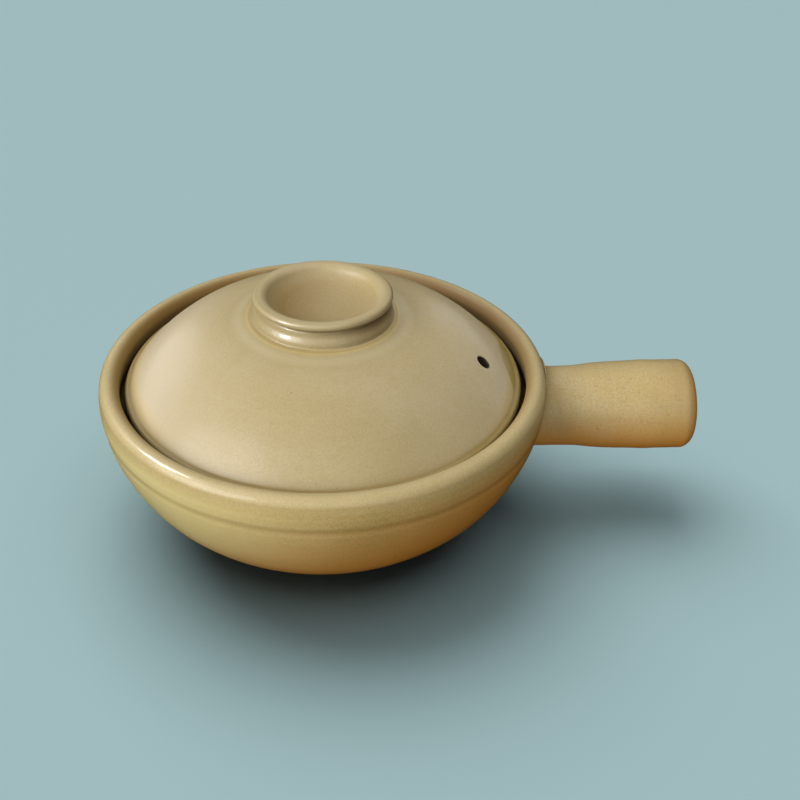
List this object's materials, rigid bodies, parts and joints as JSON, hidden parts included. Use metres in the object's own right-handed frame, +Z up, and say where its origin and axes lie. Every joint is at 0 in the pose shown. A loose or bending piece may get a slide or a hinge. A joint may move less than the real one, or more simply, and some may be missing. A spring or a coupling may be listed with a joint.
{
  "type": "clay casserole pot",
  "caption": "Round glazed clay cooking pot with a straight hollow handle and a domed lid that lifts off by a cup-shaped knob.",
  "frame": {"origin": "centre of the bowl's foot, on the floor it stands on", "axes": "+Z up along the pot's turning axis, +X out along the handle, -Y to the side seen in front"},
  "size_m": [0.284, 0.2108, 0.1168],
  "materials": {
    "bowl_glaze": "satin ochre glaze, bare clay foot",
    "handle_glaze": "satin ochre glaze",
    "lid_glaze": "satin buff glaze, bare clay seat",
    "knob_glaze": "satin buff glaze"
  },
  "bodies": {
    "pot": {"bowl": "bowl_glaze", "hollow_handle": "handle_glaze"},
    "lid": {"lid": "lid_glaze", "cup_knob": "knob_glaze"}
  },
  "joints": [
    {"name": "lid_lift", "type": "slide", "parent": "pot", "child": "lid", "axis": [0, 0, 1], "range_m": [0, 0.12]}
  ]
}
